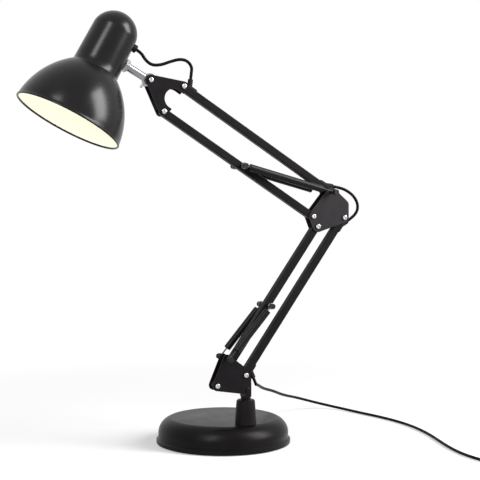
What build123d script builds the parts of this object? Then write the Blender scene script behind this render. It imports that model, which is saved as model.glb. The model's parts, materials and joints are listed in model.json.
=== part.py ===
from build123d import *
import math
import os

# Desk lamp on a round weighted base: two parallelogram arms of square tube, balanced by sleeved springs,
# carry a bell shade with an LED bulb. Lengths are in millimetres, angles in degrees. The origin is the middle
# of the base's underside, +Z is up, the arms lie in a plane parallel to XZ and the shade reaches towards -X.

# Base
base_radius = 90.0
base_lip_height = 6.0
base_lip_slope = 2.0
base_side_inset = 2.8
base_shoulder_inset = 19.0
base_shoulder_height = 34.6
base_shoulder_rise = 23.0
base_crown = 1.2
cover_wall = 1.6
pad_thickness = 1.5
pad_inset = 4.0
plate_thickness = 1.5
weight_thickness = 13.0
seat_clearance = 0.3

# Socket post and the spindle that turns in it
post_x = 5.0
post_edge_distance = 30.0
post_top = 67.0
post_foot_radius = 14.0
post_top_radius = 12.0
post_chamfer = 1.5
post_band_height = 8.0
post_band = 0.6
spindle_diameter = 10.0
spindle_depth = 28.0
spindle_block_top = 90.0
collar_radius = 6.5
washer_thickness = 1.0
washer_play = 0.025
stud_diameter = 8.0
stud_length = 8.0
nut_width = 13.0
nut_thickness = 5.0

# Arms, with each pivot placed from the one below it
tube_size = 10.0
tube_wall = 1.0
tube_corner = 1.2
arm_length = 250.0
pivot_gap = 42.0
front_pivot_x = -43.0
front_pivot_z = 88.1
lower_pivot_angle = 16.0
lower_arm_angle = 54.3
knuckle_offset = 15.0
knuckle_offset_angle = 116.0
upper_pivot_angle = 50.0
upper_arm_angle = 148.0
nose_reach = 42.0
nose_angle = 114.2

# Cheek plates and their bolts
cheek_thickness = 1.5
side_clearance = 0.3
bolt_diameter = 4.0
running_fit = 0.05
open_pivot_fit = 0.10
bolt_head_diameter = 7.0
bolt_head_height = 2.4
bolt_nut_width = 7.0
bolt_nut_height = 2.8
plug_reach = 6.0
plug_clearance = 0.1
lug_radius = 6.5
bracket_toe_x = -1.0
bracket_toe_z = 80.5
bracket_toe_radius = 6.0
bracket_stem_half = 5.0
bracket_stem_bottom = 71.0
knuckle_shoulder_rise = 17.0
lug_step = 1.0
head_lug_radius = 6.0
head_notch_radius = 12.5
head_notch_reach = 30.0

# Balance springs: a sleeve over a spring on each side of an arm, from a cross pin to a hook at the bracket
spring_side = 15.0
cross_pin_reach = 124.0
cross_pin_half = 21.0
pin_cap_diameter = 7.0
pin_cap_height = 1.5
sleeve_diameter = 9.2
sleeve_bore = 7.6
spring_outer = 7.2
spring_bore = 6.0
spring_wire = 1.8
eye_radius = 3.4
sleeve_start = 8.0
lower_sleeve_length = 66.0
upper_sleeve_length = 109.0
lower_hook_reach = 46.0
upper_hook_reach = 58.0
anchor_x = -29.5
anchor_z = 123.0
anchor_lug_radius = 5.0
lower_spring_lead = 0.3
upper_spring_lead = -0.5

# Cable and the rubber boots where it leaves the tubes
cable_diameter = 4.0
cable_straight = 8.0
loop_straight = 10.0
boot_start = 4.0
boot_length = 16.0
boot_width = 7.0
boot_pad = 1.8
nozzle_diameter = 6.6
nozzle_length = 10.0
nozzle_root = 9.0
boot_neck_length = 10.0
boot_neck_width = 4.0
head_boot_angle = 66.0
knuckle_boot_angle = 24.0
foot_boot_angle = 60.0

# Shade, measured along its axis from the opening
shade_tilt = 28.6
shade_wall = 1.2
rim_radius = 68.0
rim_bead = 1.3
bell_height = 71.0
bell_curve_radius = 101.0
crease_radius = 30.5
neck_low_radius = 29.6
neck_top_radius = 28.5
neck_top = 124.5
neck_step = 1.5
dome_corner_radius = 20.5
dome_top = 151.0
stem_height = 96.5
stem_reach = 66.3
stem_diameter = 10.0
stem_eye_radius = 8.3
stem_eye_edge = 0.8
stem_tail = 9.0
stem_nut_width = 15.0
stem_nut_thickness = 5.0
grommet_height = 121.0
grommet_diameter = 10.0
grommet_length = 5.0
grommet_groove = 1.5

# Lampholder and LED bulb, along the same axis
holder_radius = 17.0
holder_drop = 24.0
holder_rise = 24.0
holder_plate_gap = 3.0
holder_plate_thickness = 1.5
cap_radius = 13.2
cap_length = 24.0
cap_clearance = 0.5
bulb_neck_radius = 15.0
bulb_radius = 22.5
bulb_body_length = 28.0
bulb_length = 62.0

# Wing nut on the nose bolt
wing_hub_diameter = 8.0
wing_hub_height = 5.0
wing_span = 22.0
wing_height = 9.0
wing_thickness = 2.0

# Mains lead put away as a tied coil, with an in-line switch and a plug
coil_x = 285.0
coil_y = -330.0
coil_outer_radius = 27.0
coil_pitch = 4.7
coil_turns = 5.5
coil_rest = 1.5
coil_straight = 18.0
switch_straight = 17.0
plug_straight = 20.0
tie_width = 5.0
tie_thickness = 0.9
tie_clearance = 0.4
switch_x = 313.0
switch_y = -272.0
switch_length = 58.0
switch_width = 26.0
switch_height = 17.0
switch_seam = 8.5
switch_corner = 5.0
switch_wall = 1.8
rocker_length = 17.0
rocker_width = 10.0
rocker_rise = 2.4
rocker_depth = 3.0
rocker_gap = 0.6
rocker_axle_radius = 0.6
plug_x = 365.0
plug_y = -226.0
plug_length = 36.0
plug_width = 25.0
plug_height = 13.5
plug_corner = 5.0
plug_pin_gap = 19.0
plug_pin_diameter = 4.0
plug_pin_length = 19.0
plug_pin_root = 6.0
plug_pin_rounding = 0.8
plug_edge = 1.7

# Working sizes that follow from the ones above
tube_half = tube_size / 2
cheek_inner = tube_half + side_clearance
cheek_outer = cheek_inner + cheek_thickness
bolt_radius = bolt_diameter / 2
cable_radius = cable_diameter / 2
base_side_radius = base_radius - base_side_inset
base_shoulder_radius = base_radius - base_shoulder_inset
post_y = post_edge_distance - base_radius
base_seat = base_shoulder_height + base_crown * (1 - ((post_x**2 + post_y**2) / base_shoulder_radius**2))
coil_level = coil_rest + cable_radius


def polar(distance, degrees):
    return Vector(distance * math.cos(math.radians(degrees)), distance * math.sin(math.radians(degrees)))


# Pivots in the arm plane: x from the post's axis, y is height
pivot_a = Vector(front_pivot_x, front_pivot_z)
pivot_b = pivot_a + polar(pivot_gap, lower_pivot_angle)
knuckle_2 = pivot_a + polar(arm_length, lower_arm_angle)
knuckle_3 = pivot_b + polar(arm_length, lower_arm_angle)
knuckle_1 = knuckle_2 + polar(knuckle_offset, knuckle_offset_angle)
knuckle_4 = knuckle_1 + polar(pivot_gap, upper_pivot_angle)
head_2 = knuckle_1 + polar(arm_length, upper_arm_angle)
head_1 = knuckle_4 + polar(arm_length, upper_arm_angle)
nose = head_2 + polar(nose_reach, nose_angle)
anchor = Vector(anchor_x, anchor_z)
lower_pin = pivot_a + polar(cross_pin_reach, lower_arm_angle)
upper_pin = knuckle_1 + polar(cross_pin_reach, upper_arm_angle)

# The arm plane's own frame: x along X, y up, z towards the near side (-Y)
arm_plane = Plane(origin=(post_x, post_y, 0), x_dir=(1, 0, 0), z_dir=(0, -1, 0))

# The shade's frame lies in the arm plane: x away from the stem, y up the shade's axis
shade_angle = 90 - shade_tilt
shade_origin = nose - polar(stem_height, shade_angle) - polar(stem_reach, shade_angle - 90)
shade_plane = arm_plane * Pos(shade_origin.X, shade_origin.Y, 0) * Rot(0, 0, -shade_tilt)

parts = {}


def slab(face, low, high):
    return Pos(0, 0, low) * extrude(face, high - low)


def upright(radius, low, high):
    return Pos(0, 0, low) * Cylinder(radius, high - low, align=(Align.CENTER, Align.CENTER, Align.MIN))


def rod(point, diameter, low, high):
    return Pos(point.X, point.Y, 0) * upright(diameter / 2, low, high)


def bar(start, end, diameter):
    return Rot(0, 90, 0) * upright(diameter / 2, start, end)


def disc(point, radius):
    return Pos(point.X, point.Y) * Circle(radius)


def hull(discs):
    return make_hull(ShapeList(edge for d in discs for edge in d.edges()))


def hexagon(point, width, low, high):
    return Pos(point.X, point.Y) * slab(RegularPolygon(width / math.sqrt(3), 6), low, high)


def in_arm(shape):
    return arm_plane * shape


def group(name, shapes):
    parts[name] = Compound(children=list(shapes)) if len(shapes) > 1 else shapes[0]


# A crown from an edge point up or down to the axis: an arc whose centre lies on the axis
def axis_arc(edge, tip):
    height = tip[1] - edge[1]
    radius = (edge[0] ** 2 + height**2) / (2 * abs(height))
    middle = tip[1] - math.copysign(radius, height)
    start = math.degrees(math.atan2(edge[1] - middle, edge[0]))
    return CenterArc((0, middle), radius, start, math.copysign(90, height) - start)


# Base: a pressed cover over an iron weight, closed by a plate with a soft pad under it
def base_section(inset):
    rise = base_shoulder_rise - inset
    side = base_side_radius - inset
    low = base_shoulder_height - base_shoulder_rise
    shoulder = (base_shoulder_radius, base_shoulder_height - inset)
    crown = (0, base_shoulder_height + base_crown - inset)
    middle_x = base_shoulder_radius + (side - base_shoulder_radius) * math.cos(math.pi / 4)
    middle = (middle_x, low + rise * math.sin(math.pi / 4))
    lip = base_radius - inset
    lip_top = base_lip_height + base_lip_slope - inset
    edges = [Line((0, pad_thickness), (lip, pad_thickness)),
             Line((lip, pad_thickness), (lip, base_lip_height - inset)),
             Line((lip, base_lip_height - inset), (side, lip_top)),
             Line((side, lip_top), (side, low)),
             ThreePointArc((side, low), middle, shoulder),
             axis_arc(shoulder, crown),
             Line(crown, (0, pad_thickness))]
    return make_face(Curve() + edges)


def turned(section):
    return revolve(Plane.XZ * section, Axis.Z)


post_place = Pos(post_x, post_y, 0)
cover = turned(base_section(0)) - turned(base_section(cover_wall))
post_seat = upright(post_foot_radius + running_fit, base_seat, base_seat + base_crown * 4)
stud_hole = Cylinder(stud_diameter / 2 + running_fit, base_shoulder_height * 3)
parts["base_cover"] = cover - post_place * post_seat - post_place * stud_hole

inside_radius = base_radius - cover_wall - seat_clearance
plate_top = pad_thickness + plate_thickness
parts["base_pad"] = extrude(Circle(base_radius - pad_inset), pad_thickness)
parts["base_plate"] = Pos(0, 0, pad_thickness) * extrude(Circle(inside_radius), plate_thickness)
weight_radius = base_side_radius - cover_wall - pad_inset
parts["base_weight"] = Pos(0, 0, plate_top) * extrude(Circle(weight_radius), weight_thickness)

# Socket post with its stud and nut
post_outline = Polyline((0, base_seat), (post_foot_radius, base_seat),
                        (post_top_radius + post_band, post_top - post_band_height),
                        (post_top_radius, post_top - post_chamfer),
                        (post_top_radius - post_chamfer, post_top),
                        (0, post_top), (0, base_seat))
post = turned(make_face(post_outline))
bore_radius = spindle_diameter / 2 + running_fit
post_bore = upright(bore_radius, post_top - spindle_depth - washer_thickness, post_top + 1)
cover_under = base_seat - cover_wall
stud_bottom = cover_under - stud_length
stud = upright(stud_diameter / 2, stud_bottom, base_seat + cover_wall)
parts["socket_post"] = post_place * (post - post_bore + stud)
nut_seat = min(cover_under, base_shoulder_height - cover_wall)
nut_top = nut_seat - seat_clearance
socket_nut = hexagon(Vector(0, 0), nut_width, nut_top - nut_thickness, nut_top)
parts["socket_nut"] = post_place * (socket_nut - stud_hole)


# Bolts, nuts and cheek plates
def bolt(point):
    head = slab(disc(point, bolt_head_diameter / 2), cheek_outer, cheek_outer + bolt_head_height)
    head = fillet(head.faces().sort_by(Axis.Z)[-1].edges(), bolt_head_height * 0.4)
    return head + rod(point, bolt_diameter, -cheek_outer - bolt_nut_height, cheek_outer)


def nut(point):
    body = hexagon(point, bolt_nut_width, -cheek_outer - bolt_nut_height, -cheek_outer)
    return body - rod(point, bolt_diameter + 2 * running_fit, -cheek_outer - bolt_nut_height - 1, 0)


def cheeks(name, face, holes):
    for point in holes:
        face = face - disc(point, bolt_radius + running_fit)
    parts[name + "_near"] = in_arm(slab(face, cheek_inner, cheek_outer))
    parts[name + "_far"] = in_arm(slab(face, -cheek_outer, -cheek_inner))


def bolts(name, points, more=()):
    solids = [in_arm(bolt(point)) for point in points] + [in_arm(nut(point)) for point in points]
    group(name + "_bolts", solids + list(more))


def upright_face(width, low, high):
    return Pos(0, (low + high) / 2) * Rectangle(width, high - low)


# Lower bracket on its spindle
toe = Vector(bracket_toe_x, bracket_toe_z)
stem_width = 2 * bracket_stem_half
stem_face = upright_face(stem_width, bracket_stem_bottom, bracket_toe_z)
lower_face = hull([disc(pivot_a, lug_radius), disc(anchor, anchor_lug_radius),
                   disc(pivot_b, lug_radius + lug_step), disc(toe, bracket_toe_radius)]) + stem_face
rivet = Vector(0, (bracket_stem_bottom + spindle_block_top) / 2)
cheeks("lower_cheek", lower_face, [pivot_a, pivot_b, anchor, rivet])
rivet_head = bolt_head_height * 0.5
rivet_shape = rod(rivet, bolt_diameter, -cheek_outer, cheek_outer)
for low in (cheek_outer, -cheek_outer - rivet_head):
    rivet_shape = rivet_shape + rod(rivet, bolt_head_diameter, low, low + rivet_head)
bolts("lower_pivot", [pivot_a, pivot_b], [in_arm(rivet_shape)])

block = slab(upright_face(stem_width, bracket_stem_bottom, spindle_block_top), -cheek_inner, cheek_inner)
block = block - rod(rivet, bolt_diameter + 2 * running_fit, -cheek_outer, cheek_outer)
washer_top = post_top + washer_thickness
collar = upright(collar_radius, washer_top, bracket_stem_bottom)
shaft = upright(spindle_diameter / 2, post_top - spindle_depth, washer_top)
parts["swivel_spindle"] = in_arm(block) + post_place * (collar + shaft)
washer = upright(collar_radius, post_top + washer_play, washer_top - washer_play)
parts["swivel_washer"] = post_place * (washer - upright(bore_radius, post_top, washer_top))


# Spring anchors: capped studs on the lower bracket, and one long capped pin on the knuckle
def anchor_stud(side):
    low, high = sorted((side * cheek_inner, side * cross_pin_half))
    cap_low, cap_high = sorted((side * cross_pin_half, side * (cross_pin_half - pin_cap_height)))
    flange_low, flange_high = sorted((side * cheek_outer, side * (cheek_outer + pin_cap_height)))
    body = rod(anchor, bolt_diameter, low, high) + rod(anchor, pin_cap_diameter, cap_low, cap_high)
    return body + rod(anchor, pin_cap_diameter, flange_low, flange_high)


group("lower_spring_studs", [in_arm(anchor_stud(side)) for side in (1, -1)])


def capped_pin(point):
    body = rod(point, bolt_diameter, -cross_pin_half, cross_pin_half)
    for low in (-cross_pin_half, cross_pin_half - pin_cap_height):
        body = body + rod(point, pin_cap_diameter, low, low + pin_cap_height)
    return body


# Arm tubes with their end plugs, cable boots and the cable inside
def along(start, angle):
    return Pos(start.X, start.Y, 0) * Rot(0, 0, angle)


def tube_shape():
    body = slab(SlotCenterToCenter(arm_length, tube_size), -tube_half, tube_half)
    body = fillet(body.edges().filter_by_position(Axis.Z, tube_half, tube_half), tube_corner)
    body = fillet(body.edges().filter_by_position(Axis.Z, -tube_half, -tube_half), tube_corner)
    bore = tube_size - 2 * tube_wall
    return Pos(arm_length / 2, 0, 0) * (body - Box(arm_length + 2 * tube_size, bore, bore))


def through(x, fit, diameter=bolt_diameter):
    return rod(Vector(x, 0), diameter + 2 * fit, -tube_size, tube_size)


plug_half = tube_half - tube_wall - plug_clearance


def end_plug():
    outline = disc(Vector(0, 0), plug_half) + Pos(plug_reach / 2, 0) * Rectangle(plug_reach, 2 * plug_half)
    return slab(outline, -plug_half, plug_half)


def end_place(which):
    return Pos(arm_length, 0, 0) * Rot(0, 0, 180) if which else Pos(0, 0, 0)


def mirror_side(side):
    return Rot(0, 0, 0) if side > 0 else Rot(180, 0, 0)


# A boot lies on a tube's face near its end, where x runs inwards from the pivot and y out of the face
def boot_shape(angle):
    pad = Pos(boot_start + boot_length / 2, 0) * SlotOverall(boot_length, boot_width)
    pad = Pos(0, tube_half, 0) * Rot(-90, 0, 0) * extrude(pad, boot_pad)
    nozzle = Pos(nozzle_root, tube_half, 0) * Rot(0, 0, 180 - angle) * bar(0, nozzle_length, nozzle_diameter)
    root = Pos(nozzle_root, tube_half, 0) * Sphere(nozzle_diameter / 2)
    above = Pos(0, tube_half, 0) * Box(6 * boot_length, 6 * nozzle_length, 4 * boot_width,
                                       align=(Align.CENTER, Align.MIN, Align.CENTER))
    return (pad + (nozzle + root) & above) + boot_neck(0)


def boot_neck(gap):
    middle = boot_start + boot_length / 2
    return Pos(middle, tube_half - tube_wall / 2, 0) * Box(
        boot_neck_length + 2 * gap, tube_wall + 2 * gap, boot_neck_width + 2 * gap)


def arm_tube(name, start, angle, fits, pin=False, boots=()):
    place = arm_plane * along(start, angle)
    body = tube_shape()
    for which, fit in enumerate(fits):
        body = body - end_place(which) * through(0, fit)
    if pin:
        body = body - through(cross_pin_reach, running_fit)
    boot_solids = []
    for which, side, exit_angle in boots:
        turn = end_place(which) * mirror_side(side)
        body = body - turn * boot_neck(running_fit)
        boot_solids.append(place * turn * boot_shape(exit_angle))
    parts[name] = place * body
    plugs = [end_place(which) * (end_plug() - through(0, fit)) for which, fit in enumerate(fits)]
    group(name + "_plugs", [place * plug for plug in plugs])
    if boot_solids:
        group(name + "_boots", boot_solids)
        reach = boot_start + boot_length / 2
        rest = cable_radius + seat_clearance + tube_wall - tube_half
        parts[name + "_cable"] = place * Pos(0, rest, 0) * bar(reach, arm_length - reach, cable_diameter)


# Each boot: the tube's end, its side of the tube and the nozzle's lean
lower_boots = ((0, -1, foot_boot_angle), (1, 1, knuckle_boot_angle))
upper_boots = ((0, -1, knuckle_boot_angle), (1, 1, head_boot_angle))
# In each pair the first fit is at the lower end; the wider one is the pivot where the linkage is opened
arm_tube("lower_front_tube", pivot_a, lower_arm_angle, (running_fit, open_pivot_fit), pin=True)
arm_tube("lower_rear_tube", pivot_b, lower_arm_angle, (running_fit, running_fit), boots=lower_boots)
arm_tube("upper_bottom_tube", knuckle_1, upper_arm_angle, (running_fit, open_pivot_fit), pin=True)
arm_tube("upper_top_tube", knuckle_4, upper_arm_angle, (running_fit, running_fit), boots=upper_boots)
parts["lower_cross_pin"] = in_arm(capped_pin(lower_pin))
parts["upper_cross_pin"] = in_arm(capped_pin(upper_pin))

# Knuckle plates join the two arms
shoulder = knuckle_3 + Vector(0, knuckle_shoulder_rise)
knuckle_face = hull([disc(knuckle_1, lug_radius), disc(knuckle_2, lug_radius + lug_step),
                     disc(knuckle_3, lug_radius), disc(knuckle_4, lug_radius), disc(shoulder, lug_radius)])
cheeks("knuckle_plate", knuckle_face, [knuckle_1, knuckle_2, knuckle_3, knuckle_4])
bolts("knuckle", [knuckle_1, knuckle_2, knuckle_3])
parts["knuckle_spring_pin"] = in_arm(capped_pin(knuckle_4))

# Head bracket: plates from the nose to the upper arm's ends, with a round notch between the tubes
head_face = hull([disc(nose, lug_radius), disc(head_1, head_lug_radius), disc(head_2, head_lug_radius)])
head_middle = (head_1 + head_2) * 0.5
notch_way = polar(head_notch_reach, upper_arm_angle)
head_notch = hull([disc(head_middle, head_notch_radius), disc(head_middle - notch_way, head_notch_radius)])
cheeks("head_cheek", head_face - head_notch, [nose, head_1, head_2])
bolts("head_pivot", [head_1, head_2])
parts["nose_bolt"] = in_arm(bolt(nose) + rod(nose, bolt_diameter, -cheek_outer - wing_hub_height, 0))


def wing_nut():
    top = -cheek_outer - wing_hub_height
    hub = rod(nose, wing_hub_diameter, top, -cheek_outer)
    wing = SlotOverall(wing_span, wing_height)
    notch = Pos(0, wing_height / 2) * Circle(wing_height / 2)
    blade = extrude(wing - notch, wing_thickness / 2, both=True)
    blade = along(nose, upper_pivot_angle) * Pos(0, 0, top) * Rot(-90, 0, 0) * blade
    bore = rod(nose, bolt_diameter + 2 * running_fit, 2 * top, 0)
    outside = Pos(nose.X, nose.Y, -cheek_outer) * Box(4 * wing_span, 4 * wing_span, 4 * wing_span,
                                                     align=(Align.CENTER, Align.CENTER, Align.MAX))
    return (hub + blade) & outside - bore


parts["wing_nut"] = in_arm(wing_nut())


# Balance springs
def spring_place(start, end, side, lead):
    way = end - start
    angle = math.degrees(math.atan2(way.Y, way.X)) + lead
    return arm_plane * Pos(start.X, start.Y, side * spring_side) * Rot(0, 0, angle)


def eye(reach):
    return Torus(eye_radius, spring_wire / 2) + bar(eye_radius, reach, spring_wire)


def spring(length):
    end_wall = sleeve_start + spring_wire
    end = sleeve_start + length
    body = bar(sleeve_start, end, spring_outer) - bar(end_wall, end + 1, spring_bore)
    return body + eye(end_wall)


def sleeve(length):
    end = sleeve_start + length
    return bar(sleeve_start, end, sleeve_diameter) - bar(0, end + 1, sleeve_bore)


def spring_set(name, pin, hook_point, length, hook_reach, lead):
    pin_places = [spring_place(pin, hook_point, side, lead) for side in (1, -1)]
    hook_places = [spring_place(hook_point, pin, side, lead) for side in (1, -1)]
    group(name + "_spring_sleeves", [place * sleeve(length) for place in pin_places])
    group(name + "_springs", [place * spring(length) for place in pin_places])
    group(name + "_spring_hooks", [place * eye(hook_reach) for place in hook_places])


spring_set("lower", lower_pin, anchor, lower_sleeve_length, lower_hook_reach, lower_spring_lead)
spring_set("upper", upper_pin, knuckle_4, upper_sleeve_length, upper_hook_reach, upper_spring_lead)


# Shade and what it holds
def shade_section(inset):
    slope = inset * 0.75
    rim = (rim_radius - inset, 0)
    crease = (crease_radius - slope, bell_height - slope)
    neck_low = (neck_low_radius - inset, bell_height + neck_step - slope)
    neck_high = (neck_top_radius - inset, neck_top)
    corner = dome_corner_radius - inset
    corner_middle = neck_high[0] - corner
    crown = (0, dome_top - inset)
    rise = crown[1] - neck_top
    crown_radius = (corner_middle**2 + rise**2 - corner**2) / (2 * (rise - corner))
    turn = math.degrees(math.atan2(crown_radius - rise, corner_middle))
    corner_end = Vector(corner_middle, neck_top) + polar(corner, turn)
    edges = [Line((0, 0), rim), RadiusArc(rim, crease, inset - bell_curve_radius), Line(crease, neck_low),
             Line(neck_low, neck_high), CenterArc((corner_middle, neck_top), corner, 0, turn),
             axis_arc((corner_end.X, corner_end.Y), crown), Line(crown, (0, 0))]
    return make_face(Curve() + edges)


# Bodies turned about the shade's axis, with the seam opposite the stem, or lying across it
def spun(section):
    return Rot(0, 180, 0) * revolve(section, Axis.Y)


def crosswise(height, start, end, diameter):
    return Pos(0, height, 0) * bar(start, end, diameter)


def about_axis(section):
    return shade_plane * spun(section)


def across_axis(height, start, end, diameter):
    return shade_plane * crosswise(height, start, end, diameter)


def neck_radius(height):
    share = (height - bell_height) / (neck_top - bell_height)
    return neck_low_radius + (neck_top_radius - neck_low_radius) * share


stem_skin = neck_radius(stem_height)
grommet_skin = neck_radius(grommet_height)
shell = spun(shade_section(0)) - spun(shade_section(shade_wall))
bead = spun(Pos(rim_radius - shade_wall / 2, 0) * Circle(rim_bead))
shell = shell + bead - crosswise(stem_height, 0, 2 * stem_skin, stem_diameter + 2 * running_fit)
grommet_neck = grommet_diameter - 2 * grommet_groove
parts["shade"] = shade_plane * (shell - crosswise(grommet_height, 0, 2 * grommet_skin, grommet_neck))

eye_side = cheek_inner - side_clearance / 2
stem_eye = slab(disc(nose, stem_eye_radius), -eye_side, eye_side)
stem_eye = in_arm(chamfer(stem_eye.edges().filter_by(GeomType.CIRCLE), stem_eye_edge))
stem_hole = in_arm(rod(nose, bolt_diameter + 2 * running_fit, -stem_diameter, stem_diameter))
stem_rod = across_axis(stem_height, stem_skin - stem_tail, stem_reach, stem_diameter)
parts["stem"] = stem_rod + stem_eye - stem_hole


def stem_nut(start):
    body = extrude(RegularPolygon(stem_nut_width / math.sqrt(3), 6), stem_nut_thickness)
    body = body - Cylinder(stem_diameter / 2 + running_fit, stem_nut_thickness * 4)
    return shade_plane * Pos(start, stem_height, 0) * Rot(0, 90, 0) * body


nut_corner = stem_nut_width / math.sqrt(3)
nut_sag = stem_skin - shade_wall - math.sqrt((stem_skin - shade_wall) ** 2 - nut_corner**2)
inner_nut_start = stem_skin - shade_wall - nut_sag - stem_nut_thickness - seat_clearance
outer_nut_start = neck_radius(stem_height - nut_corner) + running_fit
group("stem_nuts", [stem_nut(outer_nut_start), stem_nut(inner_nut_start)])

grommet_start = neck_radius(grommet_height - grommet_diameter / 2) + running_fit
grommet = across_axis(grommet_height, grommet_start, grommet_skin + grommet_length, grommet_diameter)
neck = across_axis(grommet_height, grommet_skin - 2 * shade_wall, grommet_start + grommet_length / 2,
                   grommet_neck - 2 * running_fit)
parts["shade_grommet"] = grommet + neck


def cup(radius, low, high):
    return Pos(radius / 2, (low + high) / 2) * Rectangle(radius, high - low)


holder_plate_height = stem_height + nut_corner + holder_plate_gap
holder_bottom = holder_plate_height - holder_drop
holder_top = holder_plate_height + holder_rise
holder_bore = cap_radius + cap_clearance
holder = about_axis(cup(holder_radius, holder_bottom, holder_top))
bore_top = holder_bottom + cap_length + 2 * cap_clearance
parts["lampholder"] = holder - about_axis(cup(holder_bore, holder_bottom - 1, bore_top))
plate_radius = neck_radius(holder_plate_height) - shade_wall - seat_clearance
plate = about_axis(cup(plate_radius, holder_plate_height, holder_plate_height + holder_plate_thickness))
parts["holder_plate"] = plate - about_axis(cup(holder_radius + running_fit, holder_bottom, holder_top))

cap_bottom = holder_bottom
parts["bulb_cap"] = about_axis(cup(cap_radius, cap_bottom, cap_bottom + cap_length))
body_bottom = cap_bottom - bulb_body_length
bulb_tip = cap_bottom - bulb_length
globe_edge = math.sqrt(bulb_radius**2 - (body_bottom - bulb_tip - bulb_radius) ** 2)
body_outline = Polyline((0, cap_bottom), (bulb_neck_radius, cap_bottom), (globe_edge, body_bottom),
                        (0, body_bottom), (0, cap_bottom))
parts["bulb_body"] = about_axis(make_face(body_outline))
globe_start = math.degrees(math.atan2(body_bottom - bulb_tip - bulb_radius, globe_edge))
globe_outline = [Line((0, body_bottom), (globe_edge, body_bottom)),
                 CenterArc((0, bulb_tip + bulb_radius), bulb_radius, globe_start, -90 - globe_start),
                 Line((0, bulb_tip), (0, body_bottom))]
parts["bulb_globe"] = about_axis(make_face(Curve() + globe_outline))


# Cords: straight runs joined by arcs as large as the runs allow
def arc_radii(points):
    radii = []
    for before, here, after in zip(points, points[1:], points[2:]):
        first, second = here - before, after - here
        half_turn = math.radians(first.get_angle(second)) / 2
        radii.append(0.45 * min(first.length, second.length) / math.tan(half_turn))
    return radii


def cord_solid(name, points):
    points = [Vector(*point) for point in points]
    radii = arc_radii(points)
    path = FilletPolyline(*points, radius=radii)
    section = Plane(origin=path @ 0, z_dir=path % 0) * Circle(cable_radius)
    solid = sweep(section, path)
    expected = math.pi * cable_radius**2 * path.length
    print(name, "length", round(path.length, 1), "radii", [round(r, 1) for r in radii],
          "volume ratio", round(solid.volume / expected, 4))
    return solid


# A boot's nozzle tip, or a point a run further along the nozzle's axis
def boot_tip(start, angle, boot, run):
    which, side, exit_angle = boot
    reach = Vector(nozzle_root, tube_half) + polar(nozzle_length + run, 180 - exit_angle)
    tip = end_place(which) * mirror_side(side) * Pos(reach.X, reach.Y, 0)
    return (arm_plane * along(start, angle) * tip).position


def grommet_tip(run):
    return (shade_plane * Pos(grommet_skin + grommet_length + run, grommet_height, 0)).position


def head_boot_tip(run):
    return boot_tip(knuckle_4, upper_arm_angle, upper_boots[1], run)


def loop_start(run):
    return boot_tip(knuckle_4, upper_arm_angle, upper_boots[0], run)


def loop_end(run):
    return boot_tip(pivot_b, lower_arm_angle, lower_boots[1], run)


def lead_start(run):
    return boot_tip(pivot_b, lower_arm_angle, lower_boots[0], run)


# A point in the arm plane beside a pivot, or behind the plane by the depth
def beside(point, x, y, depth=0):
    return (arm_plane * Pos(point.X + x, point.Y + y, -depth)).position


head_route = [grommet_tip(0), grommet_tip(cable_straight), beside(nose, -4.6, 24.6), beside(nose, 3.9, 18.8),
              beside(nose, 15.9, 19.6), beside(head_1, -15.3, 30.7), beside(head_1, -2.8, 34.3),
              beside(head_1, 7.2, 32.7), beside(head_1, 13.5, 25.5), head_boot_tip(cable_straight),
              head_boot_tip(0)]
loop_route = [loop_start(0), loop_start(loop_straight), beside(knuckle_4, 26.7, 2.4),
              beside(knuckle_4, 37.7, -5), beside(knuckle_3, 24.3, 18.8), beside(knuckle_3, 23.9, 8.3),
              loop_end(loop_straight), loop_end(0)]
coil_start = Vector(coil_x - coil_outer_radius, coil_y + cable_diameter, coil_level)
coil_end = Vector(coil_x + coil_outer_radius, coil_y + cable_diameter, coil_level + coil_pitch)
coil_run = Vector(0, coil_straight, 0)
lead_route = [lead_start(0), lead_start(cable_straight), beside(pivot_b, 20.5, -15.7, 6),
              beside(pivot_b, 29.1, -18.1, 22.5), (46, -13, 76), (72, 25, 64), (108, 68, 52), (148, 112, 36),
              (188, 149, 24), (222, 168, 13), (248, 166, 5.5), (264, 142, 2.4), (272, 102, 2.1),
              (281, 60, 2.2), (287, 15, 2.1), (285, -32, 2.2), (276, -80, 2.1), (262, -126, 2.2),
              (249, -172, 2.1), (242, -214, 2.2), (245, -254, 2.1), (255, -286, 2.6), coil_start + coil_run,
              coil_start]
switch_end = switch_y + switch_length
switch_level = switch_height / 2
plug_level = plug_height / 2
switch_route = [coil_end, coil_end + coil_run, (switch_x, switch_y - switch_straight, switch_level),
                (switch_x, switch_y, switch_level)]
plug_route = [(switch_x, switch_end, switch_level), (switch_x, switch_end + switch_straight, switch_level),
              (322, -178, 4), (341, -171, 2.3), (359, -182, 3), (plug_x, plug_y + plug_straight, plug_level),
              (plug_x, plug_y, plug_level)]
parts["head_cord"] = cord_solid("head cord", head_route)
parts["knuckle_cable_loop"] = cord_solid("knuckle loop", loop_route)
parts["power_cord"] = cord_solid("power cord", lead_route)
group("cord_tail", [cord_solid("switch cord", switch_route), cord_solid("plug cord", plug_route)])


# The put-away coil: two layers that spiral in and out again, swept on biarcs of a quarter turn
def coil_point(turn):
    radius = coil_outer_radius - coil_pitch * min(turn, coil_turns - turn)
    climb_start = coil_turns / 2 - 0.25
    share = min(max((turn - climb_start) / 0.5, 0), 1)
    level = coil_level + coil_pitch * share * share * (3 - 2 * share)
    flat = polar(radius, 180 + 360 * turn)
    return Vector(coil_x + flat.X, coil_y + flat.Y, level)


def coil_tangent(turn):
    step = 0.001
    if turn <= 0 or turn >= coil_turns:
        return Vector(0, -1, 0) if turn <= 0 else Vector(0, 1, 0)
    return (coil_point(turn + step) - coil_point(turn - step)).normalized()


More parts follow.
